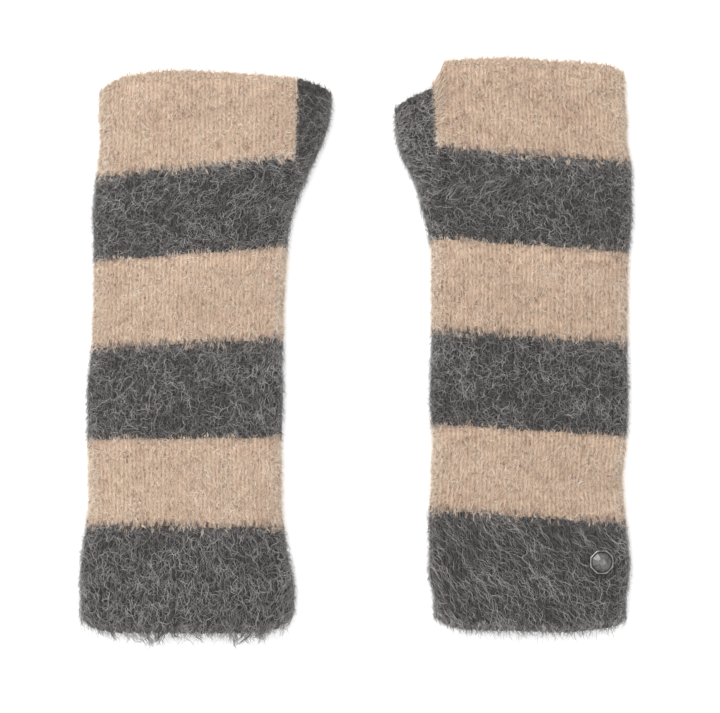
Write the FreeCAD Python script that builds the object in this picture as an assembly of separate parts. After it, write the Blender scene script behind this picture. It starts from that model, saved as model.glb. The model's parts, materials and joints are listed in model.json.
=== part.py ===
"""Pair of long fingerless gloves in brushed striped knit, laid flat side by side.

Units are millimetres. X runs across the pair, Y points to the finger openings and Z up from the
surface the gloves lie on. The origin is the middle of the pair's footprint.
"""
import FreeCAD
import Part
import math
import os

# Section of the flattened knit tube
WALL = 2.5                # brushed knit, one layer
FOLD_HEIGHT = 9.6         # top of the tube where it turns over a side fold
FOLD_RADIUS = 5.0         # rounding of a side fold, outside
TUBE_CROWN = 3.0          # how far the middle of the tube stands above the folds
THUMB_CROWN = 0.7         # the same for the narrow thumb tube
BOTTOM_PRESS = 0.4        # depth pressed flat by the surface underneath
INNER_RADIUS = 2.3        # rounding of a side fold, inside
THUMB_FADE = 20.0         # the seam's effect on the crown fades out over this height below the thumb

# Edges, seams and the way into the thumb
STATION_STEP = 12.0       # spacing of the sections the tubes are lofted through
END_OVERRUN = 5.0         # cavities are cut past the ends of the outer solid
EDGE_HEIGHT = 3.0         # cast-off and cast-on rows at the open ends
SEAM_WALL = 2.0           # fold on each side of the thumb seam
GROOVE_DEPTH = 1.5        # valley along the thumb seam, 45 degree sides
GROOVE_RISE = 6.0         # the cutter stands this high over the folds, clear of the tube
GROOVE_BELOW = 2.0        # the valley runs on below the seam
GROOVE_ABOVE = 8.0        # and past its upper end
THREAD_RADIUS = 1.05      # sewing yarn lying in the valley
SEAM_WIDTH = 2.2          # side seam allowance inside the fold
SEAM_BELOW_THUMB = 12.0   # the allowance starts this far below the thumb seam
HAND_SEAM_LOW = -20.0     # it is cut at the wrist border, between these heights
ARM_SEAM_HIGH = 20.0
ARM_SEAM_LOW = -132.0
PORT_BASE_FADE = 24.0     # below the thumb, the cavity widens to the near fold over this height
PORT_TRIM = 0.15          # the port is this much lower than the cavities it joins
PORT_INTO_HAND = 9.0      # how far the thumb port is cut into the hand's cavity
PORT_INTO_THUMB = 3.6     # and into the thumb's
THUMB_GAP = 0.3           # the thumb tube starts this far above the palm it folds away from

# Metal badge on the right cuff
BADGE_X = 122.1
BADGE_Y = -107.5
BADGE_ACROSS = 12.4       # octagon, corner to corner
BADGE_TOP_ACROSS = 6.4
BADGE_RIM = 1.1
BADGE_RISE = 1.3
BADGE_SINK = 0.6          # how far the plate presses into the knit
BADGE_SIDES = 8
PRONG_SPACING = 6.0
PRONG_WIDTH = 1.6
PRONG_THICKNESS = 0.6
WASHER_RADIUS = 5.0
WASHER_THICKNESS = 0.8
WASHER_CLEARANCE = 0.02
WASHER_SLOT_LOW = -5.0    # heights the washer's slots are cut between, from the underside of the plate
WASHER_SLOT_HIGH = -1.0
BADGE_SLOPE_SPAN = 1.0    # the badge lies along the cloth's slope over this width

# Sections of the lofted tubes: points along the upper side, and angles round a fold
HAND_SPLITS = 8
THUMB_SPLITS = 3
WHOLE_SPLITS = 10         # below the thumb, where the tube is one
CAVITY_SPLITS = 9
NARROW_SPLITS = 3
THUMB_STATIONS = 6
FOLD_ANGLES = [math.radians(degrees) for degrees in (-60, -30, 0, 30, 60)]
SLOPE_STEP = 0.05         # span the slope of the upper side is measured over
STRIP_POINTS = 14         # points along the footprint of a side seam
STRIP_REACH = 20.0        # the footprint runs outwards this far, past the fold

# far is the side fold away from the thumb, near is the fold on the thumb side.
# Rows of outline are (y, far x, near x); borders are (y at far_ref, y at near_ref).
GLOVES = {
    "left": {
        "outline": [
            (150.0, -129.0, -12.0), (123.0, -128.5, -12.0), (103.0, -127.25, -16.5),
            (83.0, -129.5, -25.5), (63.0, -131.0, -32.5), (43.0, -130.5, -35.0),
            (8.0, -131.0, -36.75), (-27.0, -134.0, -36.75), (-47.0, -133.5, -37.5),
            (-77.0, -133.0, -37.5), (-107.0, -137.0, -33.5), (-122.0, -137.5, -31.0),
            (-137.0, -136.0, -33.0), (-155.0, -134.0, -35.0),
        ],
        "far_ref": -131.0,
        "near_ref": -30.0,
        "borders": [(84.0, 94.0), (42.0, 49.5), (-1.0, 4.0), (-46.5, -45.5), (-89.0, -91.0)],
        "finger_mouth": [
            (-130.5, 117.0), (-128.5, 123.5), (-125.0, 128.5), (-119.0, 132.5),
            (-107.0, 135.9), (-75.0, 136.6), (-53.0, 135.3), (-28.75, 133.5),
        ],
        "thumb_mouth": [
            (-28.75, 133.5), (-19.5, 130.3), (-14.0, 126.8), (-12.0, 122.0), (-11.0, 115.0),
        ],
        "cuff_end": [
            (-138.5, -130.0), (-136.0, -136.8), (-132.0, -140.2), (-124.0, -142.2),
            (-104.0, -142.9), (-83.0, -142.9), (-47.0, -142.3), (-38.0, -140.0), (-33.0, -135.5),
            (-29.5, -128.0),
        ],
        "seam_top": (-28.75, 133.5),
        "seam_base": (-29.75, 82.0),
        "port": (94.0, 115.0),
        "thumb_cavity_end": 98.0,
    },
    "right": {
        "outline": [
            (155.0, 134.0, 19.0), (123.0, 134.0, 19.0), (103.0, 134.75, 20.25),
            (83.0, 137.5, 28.5), (63.0, 137.3, 34.5), (43.0, 135.5, 38.0),
            (8.0, 135.0, 38.0), (-27.0, 135.5, 37.0), (-47.0, 134.5, 38.5),
            (-67.0, 132.5, 38.0), (-87.0, 134.0, 36.5), (-107.0, 136.25, 36.5),
            (-127.0, 134.5, 38.5), (-155.0, 132.0, 40.0),
        ],
        "far_ref": 134.0,
        "near_ref": 38.0,
        "borders": [(91.5, 99.0), (46.5, 53.5), (1.5, 8.0), (-45.0, -39.0), (-88.5, -81.5)],
        "finger_mouth": [
            (136.0, 124.0), (134.4, 132.5), (132.0, 136.8), (125.0, 139.8),
            (108.0, 141.6), (82.0, 142.8), (62.0, 143.0), (44.0, 142.0),
        ],
        "thumb_mouth": [
            (38.5, 128.5), (32.0, 126.0), (24.5, 122.2), (20.75, 118.5), (19.2, 113.0), (18.5, 106.0),
        ],
        "cuff_end": [
            (137.5, -124.0), (135.0, -133.0), (131.0, -138.0), (122.0, -141.2),
            (92.0, -142.6), (62.0, -141.4), (44.5, -138.6), (39.6, -134.8), (37.0, -127.0),
        ],
        "seam_top": (38.5, 128.5),
        "seam_base": (41.0, 70.5),
        "port": (77.0, 97.0),
        "thumb_cavity_end": 80.0,
    },
}

BAND_NAMES = ["finger_band", "palm_band", "wrist_band", "lower_wrist_band", "forearm_band", "cuff_band"]
WRIST_BORDER = 2          # the border the wrist bends at
CUFF_BORDER = 4           # and the one above the cuff
FAR_AWAY = 400.0          # past everything
SIDE_REACH = 60.0         # sideways past a glove, short of the other one's far fold
BELOW = -10.0             # heights the footprints are extruded between
ABOVE = 30.0

parts = {}


def between(value, low, high):
    return max(low, min(high, value))


def interpolate(rows, y, column):
    """Smooth value of one column of rows sorted by falling y, without overshoot at its extremes."""
    if y >= rows[0][0]:
        return rows[0][column]
    if y <= rows[-1][0]:
        return rows[-1][column]
    slopes = []
    for upper, lower in zip(rows, rows[1:]):
        slopes.append((upper[column] - lower[column]) / (upper[0] - lower[0]))
    tangents = [0.0]
    for before, after in zip(slopes, slopes[1:]):
        tangents.append(2 * before * after / (before + after) if before * after > 0 else 0.0)
    tangents.append(0.0)
    for i, (upper, lower) in enumerate(zip(rows, rows[1:])):
        if y >= lower[0]:
            span = upper[0] - lower[0]
            t = (y - lower[0]) / span
            return ((1 + 2 * t) * (1 - t) ** 2 * lower[column] + t * (1 - t) ** 2 * span * tangents[i + 1]
                    + t * t * (3 - 2 * t) * upper[column] + t * t * (t - 1) * span * tangents[i])
    return rows[-1][column]


def line_at(start, end, y):
    share = (y - start[1]) / (end[1] - start[1])
    return start[0] + share * (end[0] - start[0])


def crease_x(glove, y):
    """X of the thumb seam; below the thumb it runs out onto the near fold's shoulder."""
    towards_far = math.copysign(1.0, glove["far_ref"] - glove["near_ref"])
    if y >= glove["seam_base"][1]:
        return line_at(glove["seam_base"], glove["seam_top"], y)
    return interpolate(glove["outline"], y, 2) + towards_far * FOLD_RADIUS


def thumb_share(glove, y):
    """1 beside the thumb, fading to 0 a little below it."""
    return between((y - glove["seam_base"][1] + THUMB_FADE) / THUMB_FADE, 0.0, 1.0)


def lobe(x, start, end):
    middle = (start + end) / 2
    half = abs(end - start) / 2
    return max(0.0, 1 - ((x - middle) / half) ** 2)


def top_height(glove, x, y):
    """Height of the tube's outer upper surface away from the rounded folds."""
    far = interpolate(glove["outline"], y, 1)
    near = interpolate(glove["outline"], y, 2)
    crease = crease_x(glove, y)
    share = thumb_share(glove, y)
    plain = TUBE_CROWN * lobe(x, far, near)
    on_hand = (x - crease) * (far - crease) >= 0
    if on_hand:
        divided = TUBE_CROWN * lobe(x, far, crease)
    else:
        divided = THUMB_CROWN * lobe(x, crease, near)
    return FOLD_HEIGHT + share * divided + (1 - share) * plain


def smooth_edge(points, first_tangent, last_tangent):
    curve = Part.BSplineCurve()
    curve.interpolate(Points=points, InitialTangent=first_tangent, FinalTangent=last_tangent)
    return curve.toShape()


def ring_wire(y, start, end, splits, radius, low, side_top, top):
    """Closed section in the plane at y, from the fold at x=start to the fold at x=end.

    splits are the x positions along the upper surface, low is the lower surface, side_top the height
    where the folds begin and top(x) the upper surface. The section is a straight underside, two round
    folds and a smooth upper side.
    """
    direction = math.copysign(1.0, end - start)
    middle = (low + side_top) / 2
    half = (side_top - low) / 2
    step = SLOPE_STEP * direction
    slope_start = (top(splits[0] + step) - top(splits[0])) / step
    slope_end = (top(splits[-1]) - top(splits[-1] - step)) / step
    flat = FreeCAD.Vector(direction, 0, 0)
    up_start = FreeCAD.Vector(-direction, 0, -direction * slope_start)
    up_end = FreeCAD.Vector(-direction, 0, -direction * slope_end)

    upper = [FreeCAD.Vector(x, y, top(x)) for x in reversed(splits)]
    low_start = FreeCAD.Vector(splits[0], y, low)
    low_end = FreeCAD.Vector(splits[-1], y, low)
    end_fold = [low_end]
    for angle in FOLD_ANGLES:
        x = end - direction * radius * (1 - math.cos(angle))
        end_fold.append(FreeCAD.Vector(x, y, middle + half * math.sin(angle)))
    end_fold.append(upper[0])
    start_fold = [upper[-1]]
    for angle in reversed(FOLD_ANGLES):
        x = start + direction * radius * (1 - math.cos(angle))
        start_fold.append(FreeCAD.Vector(x, y, middle + half * math.sin(angle)))
    start_fold.append(low_start)
    return Part.Wire([
        Part.makeLine(low_start, low_end),
        smooth_edge(end_fold, flat, up_end),
        smooth_edge(upper, up_end, up_start),
        smooth_edge(start_fold, up_start, flat),
    ])


def spread(start, end, count):
    return [start + (end - start) * i / (count - 1) for i in range(count)]


def station_heights(top, bottom):
    count = int(round((top - bottom) / STATION_STEP)) + 1
    return spread(top, bottom, count)


def outer_solid(glove):
    wires = []
    for y in station_heights(glove["outline"][0][0], glove["outline"][-1][0]):
        far = interpolate(glove["outline"], y, 1)
        near = interpolate(glove["outline"], y, 2)
        direction = math.copysign(1.0, near - far)
        crease = crease_x(glove, y)
        first = far + direction * FOLD_RADIUS
        last = near - direction * FOLD_RADIUS
        if abs(near - crease) > 2 * FOLD_RADIUS:
            splits = spread(first, crease, HAND_SPLITS) + spread(crease, last, THUMB_SPLITS)[1:]
        else:
            splits = spread(first, last, WHOLE_SPLITS)
        wires.append(ring_wire(
            y, far, near, splits, FOLD_RADIUS, -BOTTOM_PRESS, FOLD_HEIGHT,
            lambda x, y=y: top_height(glove, x, y)))
    return Part.makeLoft(wires, True, False)


def cavity_solid(glove, rows):
    """Inside of one tube: rows are (y, x at one fold, x at the other)."""
    wires = []
    for y, start, end in rows:
        direction = math.copysign(1.0, end - start)
        narrow = abs(end - start) < 8 * INNER_RADIUS
        splits = spread(start + direction * INNER_RADIUS, end - direction * INNER_RADIUS,
                        NARROW_SPLITS if narrow else CAVITY_SPLITS)
        wires.append(ring_wire(
            y, start, end, splits, INNER_RADIUS, WALL, FOLD_HEIGHT - WALL,
            lambda x, y=y: top_height(glove, x, y) - WALL))
    return Part.makeLoft(wires, True, False)


def hand_cavity(glove):
    direction = math.copysign(1.0, glove["near_ref"] - glove["far_ref"])
    base_y = glove["seam_base"][1]
    top_y = glove["seam_top"][1]
    mouth_y = glove["finger_mouth"][-1][1]
    rows = []
    for y in station_heights(glove["outline"][0][0] + END_OVERRUN, glove["outline"][-1][0] - END_OVERRUN):
        far = interpolate(glove["outline"], y, 1) + direction * WALL
        if y > base_y:
            near = crease_x(glove, y) - direction * SEAM_WALL
        else:
            near = interpolate(glove["outline"], y, 2) - direction * WALL
            held = crease_x(glove, base_y) - direction * SEAM_WALL
            share = between((base_y - y) / PORT_BASE_FADE, 0.0, 1.0)
            near = held + share * (near - held)
        if y > top_y and mouth_y > top_y:
            near = line_at(glove["seam_top"], glove["finger_mouth"][-1], y) - direction * SEAM_WALL
        rows.append((y, far, near))
    return cavity_solid(glove, rows)


def thumb_cavity(glove):
    direction = math.copysign(1.0, glove["near_ref"] - glove["far_ref"])
    rows = []
    for y in spread(glove["outline"][0][0] + END_OVERRUN, glove["thumb_cavity_end"], THUMB_STATIONS):
        near = interpolate(glove["outline"], y, 2)
        rows.append((y, crease_x(glove, y) + direction * SEAM_WALL, near - direction * WALL))
    return cavity_solid(glove, rows)


def port_solid(glove):
    """Rounded slot through the seam fold, where the thumb goes from the hand into its own tube."""
    low, high = glove["port"]
    radius = (FOLD_HEIGHT - 2 * WALL) / 2 - PORT_TRIM
    middle = FOLD_HEIGHT / 2
    direction = math.copysign(1.0, glove["near_ref"] - glove["far_ref"])
    seam = crease_x(glove, (low + high) / 2)
    x_start = min(seam - direction * PORT_INTO_HAND, seam + direction * PORT_INTO_THUMB)
    length = PORT_INTO_HAND + PORT_INTO_THUMB
    ends = []
    for y in (low + radius, high - radius):
        ends.append(Part.makeCylinder(
            radius, length, FreeCAD.Vector(x_start, y, middle), FreeCAD.Vector(1, 0, 0)))
    block = Part.makeBox(length, high - low - 2 * radius, 2 * radius,
                         FreeCAD.Vector(x_start, low + radius, middle - radius))
    return ends[0].fuse([ends[1], block]).removeSplitter()


def prism(face):
    lowered = face.copy()
    lowered.translate(FreeCAD.Vector(0, 0, BELOW))
    return lowered.extrude(FreeCAD.Vector(0, 0, ABOVE - BELOW))


def polygon_face(points):
    vectors = [FreeCAD.Vector(x, y, 0) for x, y in points]
    return Part.Face(Part.makePolygon(vectors + vectors[:1]))


def half_plane(glove, index, side):
    """Everything above (side 1) or below (side -1) a stripe border."""
    y_far, y_near = glove["borders"][index]
    slope = (y_near - y_far) / (glove["near_ref"] - glove["far_ref"])
    ends = []
    for x in (-FAR_AWAY, FAR_AWAY):
        ends.append((x, y_far + slope * (x - glove["far_ref"])))
    return polygon_face([ends[0], ends[1], (FAR_AWAY, side * FAR_AWAY), (-FAR_AWAY, side * FAR_AWAY)])


def shifted(face, dy):
    moved = face.copy()
    moved.translate(FreeCAD.Vector(0, dy, 0))
    return moved


def outlined_face(curve_points, corners):
    """Face bounded by a smooth line through curve_points and straight lines through the corners."""
    curve = Part.BSplineCurve()
    curve.interpolate(Points=[FreeCAD.Vector(x, y, 0) for x, y in curve_points])
    edges = [curve.toShape()]
    path = [curve_points[-1]] + corners + [curve_points[0]]
    for start, end in zip(path, path[1:]):
        edges.append(Part.makeLine(FreeCAD.Vector(start[0], start[1], 0), FreeCAD.Vector(end[0], end[1], 0)))
    return Part.Face(Part.Wire(edges))


def thumb_base(glove, gap):
    """Line square to the seam, gap above its lower end: its point on the seam and one far outwards."""
    base, top = glove["seam_base"], glove["seam_top"]
    outwards = math.copysign(SIDE_REACH, glove["near_ref"] - glove["far_ref"])
    lean = (top[0] - base[0]) / (top[1] - base[1])
    on_seam = (base[0] + gap * lean, base[1] + gap)
    return on_seam, (on_seam[0] + outwards, on_seam[1] - outwards * lean)


def hand_face(glove):
    """Footprint of the hand and forearm tube: bounded by the finger mouth and the thumb seam."""
    mouth = glove["finger_mouth"]
    base, outer = thumb_base(glove, 0.0)
    outwards = outer[0] - base[0]
    corners = [] if glove["seam_top"] == mouth[-1] else [glove["seam_top"]]
    corners += [base, outer, (outer[0], -FAR_AWAY),
                (mouth[0][0] - outwards, -FAR_AWAY), (mouth[0][0] - outwards, mouth[0][1])]
    return outlined_face(mouth, corners)


def thumb_face(glove):
    """Footprint of the thumb tube, from the seam outwards."""
    mouth = glove["thumb_mouth"]
    base, outer = thumb_base(glove, THUMB_GAP)
    corners = [(outer[0], mouth[-1][1]), outer, base]
    return outlined_face(mouth, corners)


def below_mouth(glove, mouth, drop):
    """Everything below a mouth line lowered by drop."""
    lowered = [(x, y - drop) for x, y in mouth]
    outwards = math.copysign(SIDE_REACH, glove["near_ref"] - glove["far_ref"])
    first, last = lowered[0], lowered[-1]
    corners = [(last[0] + outwards, last[1]), (last[0] + outwards, -FAR_AWAY),
               (first[0] - outwards, -FAR_AWAY), (first[0] - outwards, first[1])]
    return outlined_face(lowered, corners)


def cuff_face(glove):
    """Everything above the cuff's open end."""
    end = glove["cuff_end"]
    outwards = math.copysign(SIDE_REACH, glove["near_ref"] - glove["far_ref"])
    corners = [(end[-1][0] + outwards, end[-1][1]), (end[-1][0] + outwards, FAR_AWAY),
               (end[0][0] - outwards, FAR_AWAY), (end[0][0] - outwards, end[0][1])]
    return outlined_face(end, corners)


def groove_solid(glove):
    """45 degree valley along the thumb seam, centred on the line the thumb folds about."""
    base, top = glove["seam_base"], glove["seam_top"]
    along = FreeCAD.Vector(top[0] - base[0], top[1] - base[1], 0)
    along.normalize()
    start = FreeCAD.Vector(base[0], base[1], 0) - along * GROOVE_BELOW
    length = math.hypot(top[0] - base[0], top[1] - base[1]) + GROOVE_BELOW + GROOVE_ABOVE
    half = GROOVE_RISE + GROOVE_DEPTH
    section = [(0.0, -GROOVE_DEPTH), (half, GROOVE_RISE), (-half, GROOVE_RISE)]
    across = FreeCAD.Vector(along.y, -along.x, 0)
    corners = [start + across * x + FreeCAD.Vector(0, 0, FOLD_HEIGHT + z) for x, z in section]
    face = Part.Face(Part.makePolygon(corners + corners[:1]))
    return face.extrude(along * length)


def thread_solid(glove):
    base, top = glove["seam_base"], glove["seam_top"]
    start = FreeCAD.Vector(base[0], base[1], FOLD_HEIGHT)
    along = FreeCAD.Vector(top[0] - base[0], top[1] - base[1], 0)
    length = along.Length - EDGE_HEIGHT
    return Part.makeCylinder(THREAD_RADIUS, length, start, along)


def near_strip(glove, width, y_high, y_low):
    """Footprint of the strip of the given width just inside the near fold's inner edge."""
    direction = math.copysign(1.0, glove["near_ref"] - glove["far_ref"])
    ys = spread(y_high, y_low, STRIP_POINTS)
    inner = [(interpolate(glove["outline"], y, 2) - direction * (WALL + width), y) for y in ys]
    outer = [(x + direction * STRIP_REACH, y) for x, y in reversed(inner)]
    return polygon_face(inner + outer)


def build_glove(name):
    glove = GLOVES[name]
    slab = Part.makeBox(2 * FAR_AWAY, 2 * FAR_AWAY, ABOVE, FreeCAD.Vector(-FAR_AWAY, -FAR_AWAY, 0))
    outer = outer_solid(glove).common(slab)
    inside_hand = hand_cavity(glove)
    inside = inside_hand.fuse(port_solid(glove)).fuse(thumb_cavity(glove))
    tube = outer.cut(inside).cut(groove_solid(glove))

    hand = hand_face(glove)
    thumb = thumb_face(glove)
    open_end = cuff_face(glove)
    hand_body = below_mouth(glove, glove["finger_mouth"], EDGE_HEIGHT)
    thumb_body = below_mouth(glove, glove["thumb_mouth"], EDGE_HEIGHT)
    cuff_body = shifted(open_end, EDGE_HEIGHT)

    faces = {}
    faces["finger_edge"] = hand.cut(hand_body).common(half_plane(glove, 0, 1))
    for index, band in enumerate(BAND_NAMES):
        face = hand.common(hand_body) if index == 0 else hand
        if index > 0:
            face = face.common(half_plane(glove, index - 1, -1))
        if index < len(BAND_NAMES) - 1:
            face = face.common(half_plane(glove, index, 1))
        else:
            face = face.common(cuff_body)
        faces[band] = face
    faces["cuff_edge"] = open_end.cut(cuff_body).common(half_plane(glove, CUFF_BORDER, -1))
    faces["thumb_edge"] = thumb.cut(thumb_body)
    faces["thumb_sleeve"] = thumb.common(thumb_body)

    for node, face in faces.items():
        parts[name + "_" + node] = tube.common(prism(face))

    parts[name + "_thumb_seam"] = thread_solid(glove)
    hand_strip = near_strip(glove, SEAM_WIDTH, glove["seam_base"][1] - SEAM_BELOW_THUMB, HAND_SEAM_LOW)
    hand_strip = hand_strip.common(half_plane(glove, WRIST_BORDER, 1))
    arm_strip = near_strip(glove, SEAM_WIDTH, ARM_SEAM_HIGH, ARM_SEAM_LOW)
    arm_strip = arm_strip.common(half_plane(glove, WRIST_BORDER, -1))
    parts[name + "_hand_seam"] = inside_hand.common(prism(hand_strip))
    parts[name + "_forearm_seam"] = inside_hand.common(prism(arm_strip))


def octagon(radius, z):
    corners = []
    for i in range(BADGE_SIDES):
        angle = 2 * math.pi * (i + 0.5) / BADGE_SIDES
        corners.append(FreeCAD.Vector(radius * math.cos(angle), radius * math.sin(angle), z))
    return Part.makePolygon(corners + corners[:1])


def build_badge():
    """Plain faceted stud, its two prongs through the knit and a washer behind."""
    glove = GLOVES["right"]
    height = top_height(glove, BADGE_X, BADGE_Y)
    slope = (top_height(glove, BADGE_X + BADGE_SLOPE_SPAN, BADGE_Y) - height) / BADGE_SLOPE_SPAN

    plate = Part.Face(octagon(BADGE_ACROSS / 2, 0)).extrude(FreeCAD.Vector(0, 0, BADGE_RIM))
    crown = Part.makeLoft(
        [octagon(BADGE_ACROSS / 2, BADGE_RIM), octagon(BADGE_TOP_ACROSS / 2, BADGE_RIM + BADGE_RISE)],
        True, True)
    washer_top = BADGE_SINK - WALL
    prong_length = WALL - BADGE_SINK + WASHER_THICKNESS
    pieces = [crown]
    slots = []
    for side in (-1, 1):
        x = side * PRONG_SPACING / 2 - PRONG_THICKNESS / 2
        prong = Part.makeBox(PRONG_THICKNESS, PRONG_WIDTH, prong_length,
                             FreeCAD.Vector(x, -PRONG_WIDTH / 2, -prong_length))
        pieces.append(prong)
        slots.append(Part.makeBox(
            PRONG_THICKNESS + 2 * WASHER_CLEARANCE, PRONG_WIDTH + 2 * WASHER_CLEARANCE,
            WASHER_SLOT_HIGH - WASHER_SLOT_LOW,
            FreeCAD.Vector(x - WASHER_CLEARANCE, -PRONG_WIDTH / 2 - WASHER_CLEARANCE, WASHER_SLOT_LOW)))
    front = plate.fuse(pieces).removeSplitter()
    washer = Part.makeCylinder(WASHER_RADIUS, WASHER_THICKNESS,
                               FreeCAD.Vector(0, 0, washer_top - WASHER_THICKNESS))
    washer = washer.cut(slots)
    for shape in (front, washer):
        shape.rotate(FreeCAD.Vector(0, 0, 0), FreeCAD.Vector(0, 1, 0), -math.degrees(math.atan(slope)))
        shape.translate(FreeCAD.Vector(BADGE_X, BADGE_Y, height - BADGE_SINK))
    parts["right_badge_front"] = front
    parts["right_badge_washer"] = washer
    parts["right_cuff_band"] = parts["right_cuff_band"].cut([front, washer])


def export_parts():
    os.makedirs("parts", exist_ok=True)
    for name, shape in parts.items():
        solids = shape.Solids
        solid = solids[0] if len(solids) == 1 else shape
        box = solid.optimalBoundingBox(False)
        print("%-26s solids %d valid %s volume %.0f  x %.1f..%.1f y %.1f..%.1f z %.2f..%.2f" % (
            name, len(solids), solid.isValid(), solid.Volume, box.XMin, box.XMax, box.YMin, box.YMax,
            box.ZMin, box.ZMax))
        solid.exportStep("parts/%s.step" % name)


for glove_name in GLOVES:
    build_glove(glove_name)
build_badge()
export_parts()
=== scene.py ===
import json
import math
from typing import NamedTuple

import bmesh
import bpy
import numpy as np
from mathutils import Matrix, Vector
from mathutils.bvhtree import BVHTree


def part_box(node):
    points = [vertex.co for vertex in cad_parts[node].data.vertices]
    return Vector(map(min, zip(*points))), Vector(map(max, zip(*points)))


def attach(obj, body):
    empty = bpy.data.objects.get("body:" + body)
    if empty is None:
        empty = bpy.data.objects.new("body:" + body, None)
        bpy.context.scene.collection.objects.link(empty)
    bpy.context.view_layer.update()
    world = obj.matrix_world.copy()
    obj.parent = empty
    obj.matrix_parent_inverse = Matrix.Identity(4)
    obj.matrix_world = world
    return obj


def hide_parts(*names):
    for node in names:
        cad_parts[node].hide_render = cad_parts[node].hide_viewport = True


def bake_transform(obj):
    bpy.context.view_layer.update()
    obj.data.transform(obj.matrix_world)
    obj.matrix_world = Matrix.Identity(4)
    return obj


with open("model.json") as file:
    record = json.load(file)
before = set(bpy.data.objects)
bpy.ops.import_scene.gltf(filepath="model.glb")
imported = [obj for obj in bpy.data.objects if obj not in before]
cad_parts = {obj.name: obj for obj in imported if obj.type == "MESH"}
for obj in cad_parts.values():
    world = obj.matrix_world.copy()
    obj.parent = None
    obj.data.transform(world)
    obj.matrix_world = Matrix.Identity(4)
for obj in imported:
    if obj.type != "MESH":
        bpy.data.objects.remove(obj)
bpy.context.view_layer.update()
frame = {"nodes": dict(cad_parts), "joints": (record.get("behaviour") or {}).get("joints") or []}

# Pair of fingerless gloves in brushed, striped mohair knit, laid flat side by side.
#
# Each glove is a knitted tube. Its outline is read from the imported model, a surface of courses (rows
# of stitches) and wales (columns of stitches) is laid on that outline, and three pieces are made for
# each stripe: the knitted yarn itself, a felted layer inside it, and the brushed fibres over it.
# All lengths below are in millimetres until a mesh is made, except where metres are named.

MM = 0.001

# Knit gauge
WALE = 4.2                # width of a stitch
COURSE = 3.0              # height of a stitch
YARN_RADIUS = 0.93
YARN_CLEARANCE = 1.15     # height of the yarn's middle over the ground at least, in yarn radii
LOOP_OVERHANG = 0.17      # how far a loop leans over its neighbours, in wales
LOOP_REACH = 0.76         # half the height of a loop, in courses
LOOP_DEPTH = 0.30         # half the distance between the front legs and the heads behind them
STITCH_UNEVENNESS = 0.09  # deviation of a stitch from its row, in courses
YARN_UNEVENNESS = 0.05    # deviation of the yarn's thickness, as a share
YARN_SWELLING = 0.06      # slow change of its thickness along a row, as a share
YARN_SIDES = 5
STITCH_POINTS = 9         # points along the yarn of one stitch

# Section of the tube, to the middle of the knit
HALF_WALL = 1.25
SEAM_INSET = 0.95         # the same beside the thumb seam
SEAM_SQUARENESS = 5.0     # exponent of the squarish fold beside the thumb, 2 is round
COLUMNS = 4               # surface points per wale
OVERRUN = 4               # rows that the surface runs on past its open ends
EDGE_INSET = 1.5          # the last row of loops stands this far past its own line
SETTLE_ROUNDS = 6         # repeats that bring every course onto its own line

# Unevenness of the cloth: number of waves, and their size in courses or in height
ROW_DRIFT = (5, 0.10)
HAND_SWELL = (7, 0.28)
THUMB_SWELL = (5, 0.20)
RESTING_HEIGHT = 2.0      # the cloth is even below this, where it lies on the ground
RESTING_BLEND = 5.0       # height over which the unevenness grows

# Skins of the felted layer, from the middle of the knit
FELT_OUTSIDE = 0.65
FELT_INSIDE = -0.85

BANDS = ["finger_band", "palm_band", "wrist_band", "lower_wrist_band", "forearm_band", "cuff_band"]
LIGHT_BANDS = {"finger_band", "wrist_band", "forearm_band"}
BAND_COURSES = [17, 15, 15, 15, 15, 18]
WALES = {"left": 47, "right": 48}
BAND_KNOTS = np.concatenate([[0], np.cumsum(BAND_COURSES)])
BODY_OF_BAND = ["hand", "hand", None, "forearm", "forearm", "forearm"]
WRIST_BAND = 2
CUFF_BAND = 5
UV_NAME = "OFBake"


# ---------------------------------------------------------------- reading the outline from the frame

def node_arrays(name):
    """Points, in millimetres, and triangles of one CAD piece."""
    mesh = frame["nodes"][name].data
    mesh.calc_loop_triangles()
    points = np.empty(len(mesh.vertices) * 3)
    mesh.vertices.foreach_get("co", points)
    corners = np.empty(len(mesh.loop_triangles) * 3, dtype=np.int32)
    mesh.loop_triangles.foreach_get("vertices", corners)
    return points.reshape(-1, 3) / MM, corners.reshape(-1, 3)


def tree_of(names):
    """Search tree over several CAD pieces taken together."""
    points, triangles, offset = [], [], 0
    for name in names:
        p, t = node_arrays(name)
        points.append(p)
        triangles.append(t + offset)
        offset += len(p)
    return BVHTree.FromPolygons(np.vstack(points).tolist(), np.vstack(triangles).tolist())


def reach(tree, start, direction):
    """First point that a ray meets, or None."""
    return tree.ray_cast(Vector(start), Vector(direction))[0]


def joint_named(name):
    return [joint for joint in frame["joints"] if joint["name"] == name][0]


def smoothstep(t):
    t = np.clip(t, 0.0, 1.0)
    return t * t * (3 - 2 * t)


class Profile:
    """Value along a line, held constant past its ends."""

    def __init__(self, samples):
        samples = sorted(samples)
        self.at = np.array([s[0] for s in samples])
        self.value = np.array([s[1] for s in samples])

    def __call__(self, where):
        return np.interp(where, self.at, self.value)


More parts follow.
